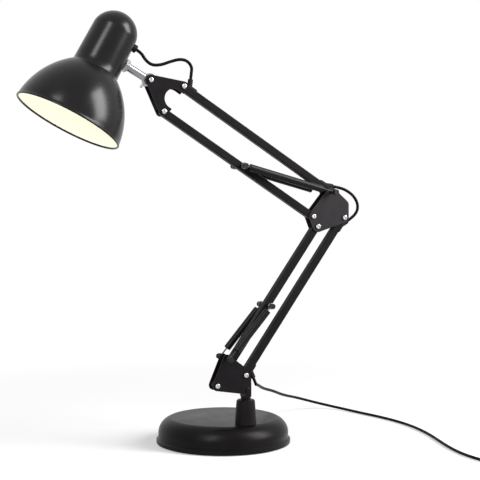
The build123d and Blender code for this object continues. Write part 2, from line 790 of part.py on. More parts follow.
def biarc(start, start_way, end, end_way):
    chord = end - start
    ways = start_way + end_way
    square = 2 * (1 - start_way.dot(end_way))
    along_ways = chord.dot(ways)
    reach = (-along_ways + math.sqrt(along_ways**2 + square * chord.dot(chord))) / square
    meeting = (start + end + (start_way - end_way) * reach) * 0.5
    first = TangentArc(start, meeting, tangent=start_way)
    return [first, TangentArc(meeting, end, tangent=first % 1)]


quarters = [quarter / 4 for quarter in range(int(coil_turns * 4) + 1)]
arcs = []
for here, there in zip(quarters, quarters[1:]):
    arcs += biarc(coil_point(here), coil_tangent(here), coil_point(there), coil_tangent(there))
arcs = [Line(coil_start, coil_point(0))] + arcs + [Line(coil_point(coil_turns), coil_end)]
coil_path = Wire(arcs)
coil_section = Plane(origin=coil_path @ 0, z_dir=coil_path % 0) * Circle(cable_radius)
parts["cord_coil"] = sweep(coil_section, coil_path)
samples = [coil_path @ (step / 360) for step in range(361)]
spacing = coil_path.length / 360
apart = int(3 * cable_diameter / spacing) + 1
gaps = [(samples[i] - samples[j]).length for i in range(361) for j in range(i + apart, 361)]
print("coil length", round(coil_path.length, 1), "least gap", round(min(gaps) - cable_diameter, 2),
      "volume ratio", round(parts["cord_coil"].volume / (math.pi * cable_radius**2 * coil_path.length), 4))

# Tie round the coil's bundle on its far side, from the outermost loop to the innermost
far_side = 0.75
inner_loop = int(coil_turns / 2 - far_side) + far_side
bundle_outer = coil_point(far_side).Y + cable_radius + tie_clearance
bundle_inner = coil_point(inner_loop).Y - cable_radius - tie_clearance
bundle_low = coil_rest - tie_clearance
bundle_high = coil_level + coil_pitch + cable_radius + tie_clearance
tie_hole = Box(tie_width * 3, bundle_outer - bundle_inner, bundle_high - bundle_low)
tie_deep = bundle_outer - bundle_inner + 2 * tie_thickness
tie_tall = bundle_high - bundle_low + 2 * tie_thickness
tie_band = fillet(Box(tie_width, tie_deep, tie_tall).edges().filter_by(Axis.X), tie_thickness)
tie_place = Pos(coil_x, (bundle_outer + bundle_inner) / 2, (bundle_low + bundle_high) / 2)
parts["coil_tie"] = tie_place * (tie_band - tie_hole)


# In-line switch: two shells and a rocker on its axle
switch_middle = Pos(switch_x, switch_y + switch_length / 2, 0)


def switch_block(inset, low, high):
    outline = RectangleRounded(switch_width - 2 * inset, switch_length - 2 * inset, switch_corner - inset)
    return slab(outline, low, high)


window_length = rocker_length + 2 * rocker_gap
window_width = rocker_width + 2 * rocker_gap
axle_height = switch_height - switch_wall / 2
lower_shell = switch_block(0, 0, switch_seam) - switch_block(switch_wall, switch_wall, switch_height)
upper_shell = switch_block(0, switch_seam, switch_height)
upper_shell = fillet(upper_shell.faces().sort_by(Axis.Z)[-1].edges(), switch_wall * 0.8)
upper_shell = upper_shell - switch_block(switch_wall, 0, switch_height - switch_wall)
upper_shell = upper_shell - Pos(0, 0, switch_height) * Box(window_width, window_length, 4 * switch_wall)
axle_length = window_width + 2 * switch_wall
axle = Pos(0, 0, axle_height) * Rot(0, 90, 0)
upper_shell = upper_shell - axle * Cylinder(rocker_axle_radius + running_fit, axle_length + 2 * running_fit)
rocker_top = switch_height + rocker_rise
rocker_low = switch_height - rocker_depth
rocker = Pos(0, 0, (rocker_top + rocker_low) / 2) * Box(rocker_width, rocker_length, rocker_top - rocker_low)
rocker = fillet(rocker.edges().filter_by(Axis.X), rocker_rise * 0.4)
dip_radius = 2 * rocker_length
dip = Rot(0, 90, 0) * Cylinder(dip_radius + rocker_rise * 0.4, 2 * rocker_width)
rocker = rocker - Pos(0, 0, rocker_top + dip_radius) * dip + axle * Cylinder(rocker_axle_radius, axle_length)
group("switch_shells", [switch_middle * lower_shell, switch_middle * upper_shell])
parts["switch_rocker"] = switch_middle * rocker

# Plug with two round pins, lying beside the coil and pointing along -Y
plug_body = slab(RectangleRounded(plug_width, plug_length, plug_corner), 0, plug_height)
plug_body = fillet(plug_body.faces().sort_by(Axis.Z)[-1].edges(), plug_edge)
plug_body = Pos(plug_x, plug_y - plug_length / 2, 0) * plug_body
plug_face = plug_y - plug_length
pins = []
for side in (-1, 1):
    pin_x = plug_x + side * plug_pin_gap / 2
    pin_place = Pos(pin_x, plug_face + plug_pin_root, plug_height / 2) * Rot(90, 0, 0)
    pin = upright(plug_pin_diameter / 2, 0, plug_pin_length + plug_pin_root)
    plug_body = plug_body - pin_place * pin
    pins.append(pin_place * fillet(pin.faces().sort_by(Axis.Z)[-1].edges(), plug_pin_rounding))
parts["plug_body"] = plug_body
group("plug_pins", pins)

if __name__ == "__main__":
    os.makedirs("parts", exist_ok=True)
    for node, shape in parts.items():
        export_step(shape, "parts/" + node + ".step")
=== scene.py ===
import json
import math

import bmesh
import bpy
from mathutils import Matrix, Vector


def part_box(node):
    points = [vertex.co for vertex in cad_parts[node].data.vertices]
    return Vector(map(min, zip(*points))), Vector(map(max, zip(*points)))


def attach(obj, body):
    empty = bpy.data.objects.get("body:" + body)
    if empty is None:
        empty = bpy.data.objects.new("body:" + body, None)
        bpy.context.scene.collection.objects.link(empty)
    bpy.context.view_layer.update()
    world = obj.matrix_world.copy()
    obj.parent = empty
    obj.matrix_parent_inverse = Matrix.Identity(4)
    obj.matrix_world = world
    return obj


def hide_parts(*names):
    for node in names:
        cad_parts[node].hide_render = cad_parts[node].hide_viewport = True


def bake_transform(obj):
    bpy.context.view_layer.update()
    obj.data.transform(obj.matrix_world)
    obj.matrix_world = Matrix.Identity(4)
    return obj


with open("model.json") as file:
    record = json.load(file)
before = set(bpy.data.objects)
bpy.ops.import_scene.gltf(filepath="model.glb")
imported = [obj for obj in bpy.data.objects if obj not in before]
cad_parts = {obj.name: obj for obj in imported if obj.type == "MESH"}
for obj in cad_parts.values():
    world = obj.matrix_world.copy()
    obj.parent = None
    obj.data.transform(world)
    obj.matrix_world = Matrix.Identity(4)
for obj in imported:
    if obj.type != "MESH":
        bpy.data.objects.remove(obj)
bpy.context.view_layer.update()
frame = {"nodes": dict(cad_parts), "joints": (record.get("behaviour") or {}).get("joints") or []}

bl_info = {
    "name": "Folding desk lamp",
    "version": (1, 0, 0),
    "blender": (4, 5, 0),
    "location": "3D View > Sidebar > Desk lamp",
    "description": "Dresses the desk lamp's solids with its shade, fasteners, springs, cords and finishes",
    "category": "Object",
}

MM = 0.001
nodes = frame["nodes"]
pivot = {joint["name"]: Vector(joint["pos_m"]) for joint in frame["joints"]}
near = Vector((0, -1, 0))

# Pivots that two arms share: the fourth corner of each parallelogram follows from the other three
knuckle_front = pivot["lower_front_pivot"] + pivot["knuckle_pivot"] - pivot["lower_arm"]
head_lower = pivot["upper_bottom_pivot"] + pivot["head_bracket_pivot"] - pivot["upper_arm"]

# The shade's own axes: up its axis, and out along the stem
shade_tilt = math.radians(28.6)
shade_up = Vector((math.sin(shade_tilt), 0, math.cos(shade_tilt)))
shade_out = Vector((math.cos(shade_tilt), 0, -math.sin(shade_tilt)))
stem_height = 0.0965
stem_reach = 0.0663
shade_mouth = pivot["head_tilt"] - shade_up * stem_height - shade_out * stem_reach


class LampSizes(bpy.types.PropertyGroup):
    """Sizes of the pieces that are made here"""

    rim_radius: bpy.props.FloatProperty(
        name="Rim radius", description="Radius of the shade's opening", default=0.068,
        unit="LENGTH", precision=4)
    shade_wall: bpy.props.FloatProperty(
        name="Shade wall", description="Thickness of the shade's sheet", default=0.0012,
        unit="LENGTH", precision=4)
    rim_bead: bpy.props.FloatProperty(
        name="Rim bead", description="Radius of the rolled rim", default=0.0013, unit="LENGTH", precision=4)
    cord_diameter: bpy.props.FloatProperty(
        name="Cord", description="Diameter of the cords", default=0.004, unit="LENGTH", precision=4)
    bolt_head: bpy.props.FloatProperty(
        name="Bolt head", description="Diameter of the bolt heads", default=0.007, unit="LENGTH", precision=4)


class LampFinishes(bpy.types.PropertyGroup):
    """Colours of the finishes"""

    enamel: bpy.props.FloatVectorProperty(
        name="Enamel", description="Black stove enamel", subtype="COLOR", size=3,
        default=(0.0046, 0.0036, 0.0044))
    reflector: bpy.props.FloatVectorProperty(
        name="Reflector", description="Cream inside of the shade", subtype="COLOR", size=3,
        default=(0.8, 0.79, 0.68))
    sheath: bpy.props.FloatVectorProperty(
        name="Cord sheath", description="Black cord sheath", subtype="COLOR", size=3,
        default=(0.0035, 0.0035, 0.004))
    zinc: bpy.props.FloatVectorProperty(
        name="Zinc", description="Bright plated steel", subtype="COLOR", size=3, default=(0.5, 0.5, 0.52))
    floor: bpy.props.FloatVectorProperty(
        name="Floor", description="Pale floor", subtype="COLOR", size=3, default=(0.7, 0.7, 0.7))


def sizes():
    return bpy.context.scene.lamp_sizes


def finishes():
    return bpy.context.scene.lamp_finishes


# Node trees
def add_node(tree, kind, **values):
    made = tree.nodes.new(kind)
    for key, value in values.items():
        setattr(made, key, value)
    return made


def new_group(name, inputs, outputs):
    tree = bpy.data.node_groups.new(name, "ShaderNodeTree")
    for label, default in inputs:
        socket = tree.interface.new_socket(label, in_out="INPUT", socket_type="NodeSocketFloat")
        socket.default_value = default
    for label in outputs:
        tree.interface.new_socket(label, in_out="OUTPUT", socket_type="NodeSocketFloat")
    return tree, tree.nodes.new("NodeGroupInput"), tree.nodes.new("NodeGroupOutput")


def math_node(tree, operation, first, second):
    made = add_node(tree, "ShaderNodeMath", operation=operation)
    for socket, value in zip(made.inputs, (first, second)):
        if isinstance(value, (int, float)):
            socket.default_value = value
        else:
            tree.links.new(value, socket)
    return made.outputs[0]


def range_node(tree, value, low, high, to_low, to_high):
    made = add_node(tree, "ShaderNodeMapRange", clamp=True)
    tree.links.new(value, made.inputs["Value"])
    for label, number in (("From Min", low), ("From Max", high), ("To Min", to_low), ("To Max", to_high)):
        made.inputs[label].default_value = number
    return made.outputs["Result"]


def noise_node(tree, place, scale, detail, roughness=0.5):
    made = add_node(tree, "ShaderNodeTexNoise")
    tree.links.new(place, made.inputs["Vector"])
    if isinstance(scale, (int, float)):
        made.inputs["Scale"].default_value = scale
    else:
        tree.links.new(scale, made.inputs["Scale"])
    made.inputs["Detail"].default_value = detail
    made.inputs["Roughness"].default_value = roughness
    return made.outputs["Fac"]


def make_peel_group():
    tree, given, result = new_group("Orange peel", [("Scale", 900.0)], ["Height", "Cloud"])
    place = add_node(tree, "ShaderNodeTexCoord").outputs["Object"]
    fine = noise_node(tree, place, given.outputs["Scale"], 1.5)
    tree.links.new(fine, result.inputs["Height"])
    cloud = noise_node(tree, place, math_node(tree, "MULTIPLY", given.outputs["Scale"], 0.04), 3.0, 0.55)
    tree.links.new(range_node(tree, cloud, 0.3, 0.7, 0.0, 1.0), result.inputs["Cloud"])
    return tree


def make_dust_group():
    tree, given, result = new_group("Settled dust", [("Scale", 260.0)], ["Dust"])
    facing = add_node(tree, "ShaderNodeSeparateXYZ")
    tree.links.new(add_node(tree, "ShaderNodeNewGeometry").outputs["Normal"], facing.inputs[0])
    upward = range_node(tree, facing.outputs["Z"], 0.35, 1.0, 0.0, 1.0)
    place = add_node(tree, "ShaderNodeTexCoord").outputs["Object"]
    specks = range_node(tree, noise_node(tree, place, given.outputs["Scale"], 4.0, 0.7), 0.5, 0.78, 0.0, 1.0)
    tree.links.new(math_node(tree, "MULTIPLY", upward, specks), result.inputs["Dust"])
    return tree


def make_grain_group():
    inputs = [("Scale", 300.0), ("Stretch X", 1.0), ("Stretch Y", 1.0), ("Stretch Z", 1.0)]
    tree, given, result = new_group("Drawn grain", inputs, ["Grain", "Streak"])
    place = add_node(tree, "ShaderNodeTexCoord").outputs["Object"]
    stretch = add_node(tree, "ShaderNodeCombineXYZ")
    for axis in "XYZ":
        tree.links.new(given.outputs["Stretch " + axis], stretch.inputs[axis])
    drawn = add_node(tree, "ShaderNodeVectorMath", operation="MULTIPLY")
    tree.links.new(place, drawn.inputs[0])
    tree.links.new(stretch.outputs[0], drawn.inputs[1])
    grain = noise_node(tree, drawn.outputs[0], given.outputs["Scale"], 3.0, 0.6)
    tree.links.new(grain, result.inputs["Grain"])
    wide = math_node(tree, "MULTIPLY", given.outputs["Scale"], 0.15)
    streak = noise_node(tree, drawn.outputs[0], wide, 2.0)
    tree.links.new(range_node(tree, streak, 0.35, 0.65, 0.0, 1.0), result.inputs["Streak"])
    return tree


def use_group(tree, group, **values):
    made = add_node(tree, "ShaderNodeGroup", node_tree=group)
    for label, value in values.items():
        made.inputs[label.replace("_", " ")].default_value = value
    return made


def mix_colours(tree, share, first, second):
    made = add_node(tree, "ShaderNodeMix", data_type="RGBA")
    tree.links.new(share, made.inputs["Factor"])
    for label, value in (("A", first), ("B", second)):
        if isinstance(value, bpy.types.NodeSocket):
            tree.links.new(value, made.inputs[label])
        else:
            made.inputs[label].default_value = (*value, 1)
    return made.outputs["Result"]


def bump_from(tree, height, strength, distance):
    made = add_node(tree, "ShaderNodeBump")
    made.inputs["Strength"].default_value = strength
    made.inputs["Distance"].default_value = distance
    tree.links.new(height, made.inputs["Height"])
    return made.outputs["Normal"]


def blank_material(name):
    material = bpy.data.materials.new(name)
    material.use_nodes = True
    return material, material.node_tree, material.node_tree.nodes["Principled BSDF"]


def tinted(colour, factor):
    return tuple(min(1.0, channel * factor) for channel in colour)


# Makers of the finishes
dust_colour = (0.3, 0.28, 0.27)


def painted(name, colour, roughness, level, peel, dusty=0.0):
    material, tree, shader = blank_material(name)
    skin = use_group(tree, peel_group, Scale=peel)
    tone = mix_colours(tree, skin.outputs["Cloud"], tinted(colour, 0.8), tinted(colour, 1.25))
    if dusty:
        dust = use_group(tree, dust_group)
        share = math_node(tree, "MULTIPLY", dust.outputs["Dust"], dusty)
        tone = mix_colours(tree, share, tone, dust_colour)
    tree.links.new(tone, shader.inputs["Base Color"])
    tree.links.new(range_node(tree, skin.outputs["Cloud"], 0, 1, roughness * 0.9, roughness * 1.12),
                   shader.inputs["Roughness"])
    tree.links.new(bump_from(tree, skin.outputs["Height"], 0.12, 0.0002), shader.inputs["Normal"])
    shader.inputs["Specular IOR Level"].default_value = level
    return material


def metal(name, colour, roughness, scale, stretch, depth=0.0001):
    material, tree, shader = blank_material(name)
    grain = use_group(tree, grain_group, Scale=scale, Stretch_X=stretch[0], Stretch_Y=stretch[1],
                      Stretch_Z=stretch[2])
    tone = mix_colours(tree, grain.outputs["Streak"], tinted(colour, 0.86), tinted(colour, 1.08))
    tree.links.new(tone, shader.inputs["Base Color"])
    tree.links.new(range_node(tree, grain.outputs["Grain"], 0.3, 0.7, roughness * 0.75, roughness * 1.3),
                   shader.inputs["Roughness"])
    tree.links.new(bump_from(tree, grain.outputs["Grain"], 0.1, depth), shader.inputs["Normal"])
    shader.inputs["Metallic"].default_value = 1.0
    return material


def moulded(name, colour, roughness, scale, level, depth=0.00015):
    material, tree, shader = blank_material(name)
    skin = use_group(tree, peel_group, Scale=scale)
    tone = mix_colours(tree, skin.outputs["Cloud"], tinted(colour, 0.82), tinted(colour, 1.2))
    tree.links.new(tone, shader.inputs["Base Color"])
    tree.links.new(range_node(tree, skin.outputs["Cloud"], 0, 1, roughness * 0.9, roughness * 1.12),
                   shader.inputs["Roughness"])
    tree.links.new(bump_from(tree, skin.outputs["Height"], 0.35, depth), shader.inputs["Normal"])
    shader.inputs["Specular IOR Level"].default_value = level
    return material


# Emission over a base colour: the bulb's own glow as a lamp, and a painted glow where it stands in for light
# falling on the shade's inside
def glowing(name, colour, glow, strength):
    material, tree, shader = blank_material(name)
    skin = use_group(tree, peel_group, Scale=400.0)
    tone = mix_colours(tree, skin.outputs["Cloud"], tinted(colour, 0.97), tinted(colour, 1.02))
    tree.links.new(tone, shader.inputs["Base Color"])
    lit = mix_colours(tree, skin.outputs["Cloud"], tinted(glow, 0.97), tinted(glow, 1.0))
    tree.links.new(lit, shader.inputs["Emission Color"])
    shader.inputs["Emission Strength"].default_value = strength
    tree.links.new(range_node(tree, skin.outputs["Cloud"], 0, 1, 0.42, 0.52), shader.inputs["Roughness"])
    tree.links.new(bump_from(tree, skin.outputs["Height"], 0.05, 0.0001), shader.inputs["Normal"])
    shader.inputs["Specular IOR Level"].default_value = 0.2
    return material


# Finishes by name
finish = {}


def make_finishes():
    colours = finishes()
    black = tuple(colours.enamel)
    finish["gloss enamel"] = painted("gloss_enamel", tinted(black, 0.9), 0.25, 0.22, 700.0)
    finish["base enamel"] = painted("base_enamel", tinted(black, 0.8), 0.34, 0.09, 700.0, 0.01)
    finish["satin enamel"] = painted("satin_enamel", tinted(black, 1.1), 0.42, 0.09, 1500.0, 0.02)
    finish["plate enamel"] = painted("plate_enamel", tinted(black, 1.8), 0.45, 0.2, 1500.0, 0.02)
    # The shade's cream inside carries a painted glow, standing in for the bulb's light falling on it
    finish["reflector"] = glowing("reflector_cream_painted_glow", tuple(colours.reflector), (1.0, 0.995, 0.84), 0.5)
    finish["globe"] = glowing("globe_frosted", (0.9, 0.88, 0.8), (1.0, 0.96, 0.8), 0.9)
    finish["zinc"] = metal("bright_zinc", tuple(colours.zinc), 0.24, 900.0, (1, 1, 1))
    finish["pin"] = metal("black_oxide", (0.03, 0.03, 0.032), 0.36, 900.0, (1, 1, 1))
    finish["chrome"] = metal("stem_chrome", (0.25, 0.25, 0.26), 0.2, 260.0, (0.3, 1, 1), 0.00002)
    finish["wire"] = metal("spring_wire", (0.12, 0.12, 0.125), 0.3, 600.0, (0.2, 1, 0.2))
    finish["plate steel"] = metal("plate_steel", (0.5, 0.5, 0.52), 0.34, 500.0, (0.1, 1, 1))
    finish["iron"] = metal("weight_iron", (0.1, 0.1, 0.1), 0.6, 500.0, (1, 1, 1))
    finish["cap metal"] = metal("cap_aluminium", (0.75, 0.75, 0.76), 0.3, 700.0, (1, 1, 0.2))
    finish["rubber"] = moulded("black_rubber", tinted(black, 1.5), 0.62, 1800.0, 0.15)
    finish["sheath"] = moulded("cord_sheath", tuple(colours.sheath), 0.5, 1500.0, 0.05, 0.00008)
    finish["shell"] = moulded("moulded_shell", tinted(black, 2.2), 0.46, 2600.0, 0.2)
    finish["sleeve"] = moulded("spring_sleeve", tinted(black, 1.2), 0.36, 1400.0, 0.14, 0.00006)
    finish["porcelain"] = moulded("holder_porcelain", (0.82, 0.8, 0.75), 0.3, 500.0, 0.5, 0.00005)


node_finish = {
    "base enamel": ["base_cover"],
    "gloss enamel": ["shade"],
    "satin enamel": ["lower_rear_tube", "lower_front_tube", "upper_top_tube", "upper_bottom_tube",
                     "swivel_washer", "lower_cheek_near", "lower_cheek_far", "head_cheek_near",
                     "head_cheek_far", "swivel_spindle", "socket_post"],
    "plate enamel": ["knuckle_plate_near", "knuckle_plate_far"],
    "sleeve": ["lower_spring_sleeves", "upper_spring_sleeves"],
    "zinc": ["lower_pivot_bolts", "knuckle_bolts", "head_pivot_bolts", "nose_bolt", "wing_nut", "socket_nut"],
    "pin": ["lower_spring_studs", "knuckle_spring_pin", "lower_cross_pin", "upper_cross_pin",
            "lower_spring_hooks", "upper_spring_hooks"],
    "wire": ["lower_springs", "upper_springs"],
    "chrome": ["stem", "stem_nuts"],
    "rubber": ["base_pad", "shade_grommet", "lower_rear_tube_boots", "upper_top_tube_boots"],
    "sheath": ["power_cord", "cord_coil", "cord_tail", "head_cord", "knuckle_cable_loop",
               "lower_rear_tube_cable", "upper_top_tube_cable", "coil_tie"],
    "shell": ["switch_shells", "switch_rocker", "plug_body", "lower_rear_tube_plugs",
              "lower_front_tube_plugs", "upper_top_tube_plugs", "upper_bottom_tube_plugs"],
    "plate steel": ["base_plate", "holder_plate", "plug_pins"],
    "iron": ["base_weight"],
    "porcelain": ["lampholder", "bulb_body"],
    "cap metal": ["bulb_cap"],
    "globe": ["bulb_globe"],
}


# Mesh makers: rings of points are skinned into bodies, and several bodies make one piece
def new_build():
    return {"points": [], "faces": [], "finish": []}


def add_rings(build, rings, label=0, caps=(True, True)):
    first, count = len(build["points"]), len(rings[0])
    for ring in rings:
        build["points"].extend(ring)
    faces = []
    for row in range(len(rings) - 1):
        low, high = first + row * count, first + (row + 1) * count
        for step in range(count):
            after = (step + 1) % count
            faces.append((low + step, low + after, high + after, high + step))
    if caps[0]:
        faces.append(tuple(range(first + count - 1, first - 1, -1)))
    if caps[1]:
        last = first + (len(rings) - 1) * count
        faces.append(tuple(range(last, last + count)))
    build["faces"].extend(faces)
    build["finish"].extend([label] * len(faces))


def mesh_piece(name, build, labels, sharp):
    mesh = bpy.data.meshes.new(name)
    mesh.from_pydata([tuple(point) for point in build["points"]], [], build["faces"])
    for label in labels:
        mesh.materials.append(finish[label])
    for face, label in zip(mesh.polygons, build["finish"]):
        face.material_index = label
    shape = bmesh.new()
    shape.from_mesh(mesh)
    bmesh.ops.recalc_face_normals(shape, faces=shape.faces)
    shape.to_mesh(mesh)
    shape.free()
    mesh.shade_smooth()
    mesh.set_sharp_from_angle(angle=math.radians(sharp))
    piece = bpy.data.objects.new(name, mesh)
    bpy.context.scene.collection.objects.link(piece)
    return piece


def place_along(origin, up, out):
    side = up.cross(out)
    place = Matrix((out, side, up)).transposed().to_4x4()
    place.translation = origin
    return place


def circle(place, radius, height, count=24):
    turns = [2 * math.pi * step / count for step in range(count)]
    return [place @ Vector((radius * math.cos(turn), radius * math.sin(turn), height)) for turn in turns]


def hexagon(place, radius, height, count=24):
    ring = []
    for step in range(count):
        turn = 2 * math.pi * step / count
        within = turn % (math.pi / 3) - math.pi / 6
        reach = radius * math.cos(math.pi / 6) / math.cos(within)
        ring.append(place @ Vector((reach * math.cos(turn), reach * math.sin(turn), height)))
    return ring


def rounded(place, width, depth, corner, height, steps=6):
    ring = []
    for quarter, (x, y) in enumerate(((1, 1), (-1, 1), (-1, -1), (1, -1))):
        for step in range(steps + 1):
            turn = math.pi / 2 * (quarter + step / steps)
            ring.append(place @ Vector((x * (width / 2 - corner) + corner * math.cos(turn),
                                        y * (depth / 2 - corner) + corner * math.sin(turn), height)))
    return ring


def turned(place, profile, count):
    return [circle(place, radius, height, count) for radius, height in profile]


def arc(centre, radius, start, end, steps):
    return [(centre[0] + radius * math.cos(math.radians(start + (end - start) * step / steps)),
             centre[1] + radius * math.sin(math.radians(start + (end - start) * step / steps)))
            for step in range(steps + 1)]


def tube_rings(points, radii, count=14):
    rings, side = [], None
    for index, point in enumerate(points):
        way = (points[min(index + 1, len(points) - 1)] - points[max(index - 1, 0)]).normalized()
        side = side or way.orthogonal()
        side = (side - way * side.dot(way)).normalized()
        rings.append(circle(place_along(point, way, side), radii[index], 0, count))
    return rings


def route_line(route, closer=12):
    """Points along the route's smooth line, in metres."""
    curve = bpy.data.curves.new("route", "CURVE")
    curve.dimensions = "3D"
    spline = curve.splines.new("NURBS")
    spline.points.add(len(route) - 1)
    for control, point in zip(spline.points, route):
        control.co = (*[value * MM for value in point], 1)
    spline.order_u = 3
    spline.use_endpoint_u = True
    spline.resolution_u = closer
    guide = bpy.data.objects.new("route", curve)
    bpy.context.scene.collection.objects.link(guide)
    line = bpy.data.meshes.new_from_object(guide)
    points = [vertex.co.copy() for vertex in line.vertices]
    bpy.data.objects.remove(guide)
    bpy.data.curves.remove(curve)
    bpy.data.meshes.remove(line)
    return points


def line_length(points):
    return sum((there - here).length for here, there in zip(points, points[1:]))


def cord_piece(name, points, radius):
    build = new_build()
    add_rings(build, tube_rings(points, [radius] * len(points)))
    return mesh_piece(name, build, ["sheath"], 60)


class LAMP_OT_finish_solids(bpy.types.Operator):
    """Gives every solid its finish"""

    bl_idname = "lamp.finish_solids"
    bl_label = "Finish the solids"

    def execute(self, context):
        given = {node: label for label, group in node_finish.items() for node in group}
        for name, node in nodes.items():
            if name not in given:
                raise RuntimeError("no finish for " + name)
            for place in node.material_slots:
                place.material = finish[given[name]]
        return {"FINISHED"}


class LAMP_OT_spin_shade(bpy.types.Operator):
    """Spins the shade: enamelled outside, cream inside with a painted glow standing in for the bulb's light,
    and a rolled rim
    """

    bl_idname = "lamp.spin_shade"
    bl_label = "Spin the shade"

    bell_height = 0.071
    bell_radius = 0.101
    crease_radius = 0.0305
    neck_low_radius = 0.0296
    neck_top_radius = 0.0285
    neck_step = 0.0015
    neck_top = 0.1245
    corner_radius = 0.0205
    dome_top = 0.151
    tip_radius = 0.0003
    slope_share = 0.75
    bell_steps, neck_steps, corner_steps, cap_steps = 28, 6, 8, 14
    bead_start, bead_end, bead_steps = 122, 418, 16
    around = 128

    def side(self, inset, rim):
        """Radius and height of the points up one face of the sheet, from the rim to the tip."""
        slope = inset * self.slope_share
        crease = (self.crease_radius - slope, self.bell_height - slope)
        half = Vector((crease[0] - rim, crease[1])) / 2
        curve = self.bell_radius - inset
        sagging = math.sqrt(curve**2 - half.length_squared)
        middle = Vector((rim, 0)) + half + Vector((-half.y, half.x)).normalized() * sagging
        start = math.degrees(math.atan2(-middle.y, rim - middle.x))
        end = math.degrees(math.atan2(crease[1] - middle.y, crease[0] - middle.x))
        bell = arc(middle, curve, start, end, self.bell_steps)
        foot = (self.neck_low_radius - inset, self.bell_height + self.neck_step - slope)
        top_radius = self.neck_top_radius - inset
        neck = [(foot[0] + (top_radius - foot[0]) * step / self.neck_steps,
                 foot[1] + (self.neck_top - foot[1]) * step / self.neck_steps)
                for step in range(self.neck_steps)]
        corner = self.corner_radius - inset
        corner_middle = top_radius - corner
        rise = self.dome_top - inset - self.neck_top
        crown = (corner_middle**2 + rise**2 - corner**2) / (2 * (rise - corner))
        turn = math.degrees(math.atan2(crown - rise, corner_middle))
        dome = arc((corner_middle, self.neck_top), corner, 0, turn, self.corner_steps)
        cap = arc((0, self.dome_top - inset - crown), crown, turn, 90, self.cap_steps)[1:-1]
        return bell + neck + dome + cap + [(self.tip_radius, self.dome_top - inset)]

    def execute(self, context):
        size = sizes()
        outside = self.side(0, size.rim_radius)
        inside = self.side(size.shade_wall, size.rim_radius - size.shade_wall)[::-1]
        bead = arc((size.rim_radius - size.shade_wall / 2, 0), size.rim_bead,
                   self.bead_start, self.bead_end, self.bead_steps)
        place = place_along(shade_mouth, shade_up, shade_out)
        build = new_build()
        # The inside faces take the cream finish with its painted glow of bulb light
        add_rings(build, turned(place, inside[:-1] + bead[:1], self.around), 1, (True, False))
        add_rings(build, turned(place, bead + outside[1:], self.around), 0, (False, True))
        shade = mesh_piece("shade_shell", build, ["gloss enamel", "reflector"], 50)
        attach(shade, "head")
        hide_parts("shade")
        return {"FINISHED"}


class LAMP_OT_fit_fasteners(bpy.types.Operator):
    """Fits the socket-head bolts, their nuts and the spindle's rivet"""

    bl_idname = "lamp.fit_fasteners"
    bl_label = "Fit the fasteners"

    cheek = 0.0068
    shank = 0.002
    head_height = 0.0024
    head_rise = 0.0009
    head_shoulder = 0.0014
    head_edge = 0.0003
    socket = 0.00175
    socket_depth = 0.0014
    socket_floor = 0.0016
    nut_corner = 0.00404
    nut_height = 0.0028
    wing_hub = 0.005
    bolt_end = 0.0004
    bolt_stand = 0.0003
    nose_stand = 0.0006
    rivet_height = 0.0012
    rivet_level = 0.0805
    nut_edge = 0.0005
    first_lean = 17
    lean_step = 23
    sides = 24

    def head(self, build, place):
        radius = sizes().bolt_head / 2
        low, high = self.cheek, self.cheek + self.head_height
        skirt = [(radius, low), (radius, low + self.head_rise), (radius * 0.96, low + self.head_shoulder),
                 (radius * 0.85, high - self.head_edge), (radius * 0.7, high), (radius * 0.6, high)]
        rings = [circle(place, *step) for step in skirt]
        rings += [hexagon(place, self.socket, high),
                  hexagon(place, self.socket * 0.94, high - self.socket_depth),
                  hexagon(place, self.socket * 0.2, high - self.socket_floor)]
        add_rings(build, rings)

    def nut(self, build, place):
        low, high = -self.cheek, -self.cheek - self.nut_height
        rings = [hexagon(place, self.nut_corner * 0.93, low),
                 hexagon(place, self.nut_corner, low - self.nut_edge),
                 hexagon(place, self.nut_corner, high + self.nut_edge),
                 circle(place, self.nut_corner * 0.84, high),
                 circle(place, self.shank * 1.1, high),
                 circle(place, self.shank, high + self.bolt_stand)]
        add_rings(build, rings)

    def rod(self, build, place, end):
        profile = [(self.shank, self.cheek), (self.shank, end + self.bolt_end), (self.shank * 0.8, end)]
        add_rings(build, turned(place, profile, self.sides))

    def rivet(self, build, place):
        for side in (1, -1):
            low, high = side * self.cheek, side * (self.cheek + self.rivet_height)
            radius = sizes().bolt_head / 2
            dome = [(radius, low), (radius * 0.95, low + (high - low) * 0.5),
                    (radius * 0.7, low + (high - low) * 0.9), (radius * 0.3, high)]
            add_rings(build, turned(place, dome, self.sides), 1)
        add_rings(build, turned(place, [(self.shank, self.cheek), (self.shank, -self.cheek)], self.sides), 1)

    def execute(self, context):
        spindle_low, spindle_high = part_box("swivel_spindle")
        spindle = (spindle_low + spindle_high) / 2
        rivet = Vector((spindle.x, pivot["lower_arm"].y, self.rivet_level))
        groups = [
            ("lower_pivot_bolts", "lower_bracket", [pivot["lower_front_pivot"], pivot["lower_arm"]]),
            ("knuckle_bolts", "knuckle",
             [pivot["upper_bottom_pivot"], knuckle_front, pivot["knuckle_pivot"]]),
            ("head_pivot_bolts", "head_bracket", [pivot["head_bracket_pivot"], head_lower]),
            ("nose_bolt", "head_bracket", [pivot["head_tilt"]]),
        ]
        for node, body, points in groups:
            build = new_build()
            for index, point in enumerate(points):
                lean = math.radians(self.first_lean + self.lean_step * index)
                place = place_along(point, near, Vector((math.cos(lean), 0, math.sin(lean))))
                self.head(build, place)
                if node == "nose_bolt":
                    self.rod(build, place, -self.cheek - self.wing_hub - self.nose_stand)
                else:
                    self.nut(build, place)
                    self.rod(build, place, -self.cheek - self.nut_height - self.bolt_stand)
            if body == "lower_bracket":
                self.rivet(build, place_along(rivet, near, Vector((1, 0, 0))))
            piece = mesh_piece(node + "_turned", build, ["zinc", "satin enamel"], 32)
            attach(piece, body)
            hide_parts(node)
        return {"FINISHED"}


